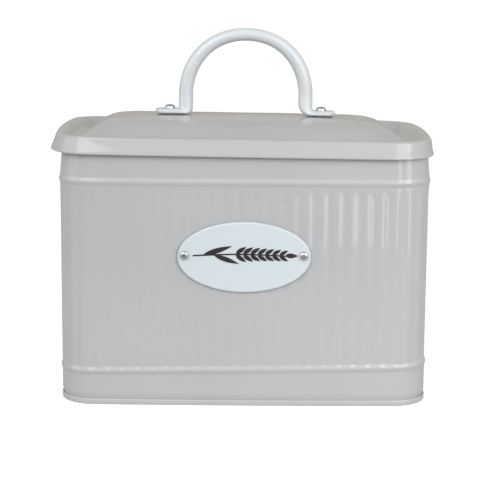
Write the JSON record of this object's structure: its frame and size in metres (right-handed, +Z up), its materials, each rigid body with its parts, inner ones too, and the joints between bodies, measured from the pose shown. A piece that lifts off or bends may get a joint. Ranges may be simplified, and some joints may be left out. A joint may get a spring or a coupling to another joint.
{
  "type": "crispbread storage tin",
  "caption": "Upright rounded-rectangle sheet steel food tin with fluted walls, a lift-off domed lid with an arched rod handle, and an oval front plate.",
  "frame": {"origin": "middle of the flat foot that the tin stands on", "axes": "+Z up, the front with the oval plate faces -Y, +X is right as seen from the front"},
  "size_m": [0.2228, 0.1346, 0.2138],
  "materials": {
    "body_enamel": "glossy light grey enamel",
    "lid_enamel": "glossy warm light grey enamel",
    "handle_enamel": "glossy off-white enamel",
    "plate_enamel": "glossy white enamel",
    "bright_steel": "bright zinc-plated"
  },
  "bodies": {
    "tin": {"body_shell": "body_enamel", "bottom_pan": "body_enamel", "label_plate": "plate_enamel", "plate_screw_left": "bright_steel", "plate_screw_right": "bright_steel", "plate_washer_left": "bright_steel", "plate_washer_right": "bright_steel", "plate_nut_left": "bright_steel", "plate_nut_right": "bright_steel"},
    "lid": {"lid_shell": "lid_enamel", "handle": "handle_enamel", "handle_screw_left": "bright_steel", "handle_screw_right": "bright_steel", "handle_washer_left": "bright_steel", "handle_washer_right": "bright_steel", "handle_nut_left": "bright_steel", "handle_nut_right": "bright_steel"}
  },
  "joints": [
    {"name": "lid_lift", "type": "slide", "parent": "tin", "child": "lid", "axis": [0, 0, 1], "range_m": [0, 0.08]}
  ]
}
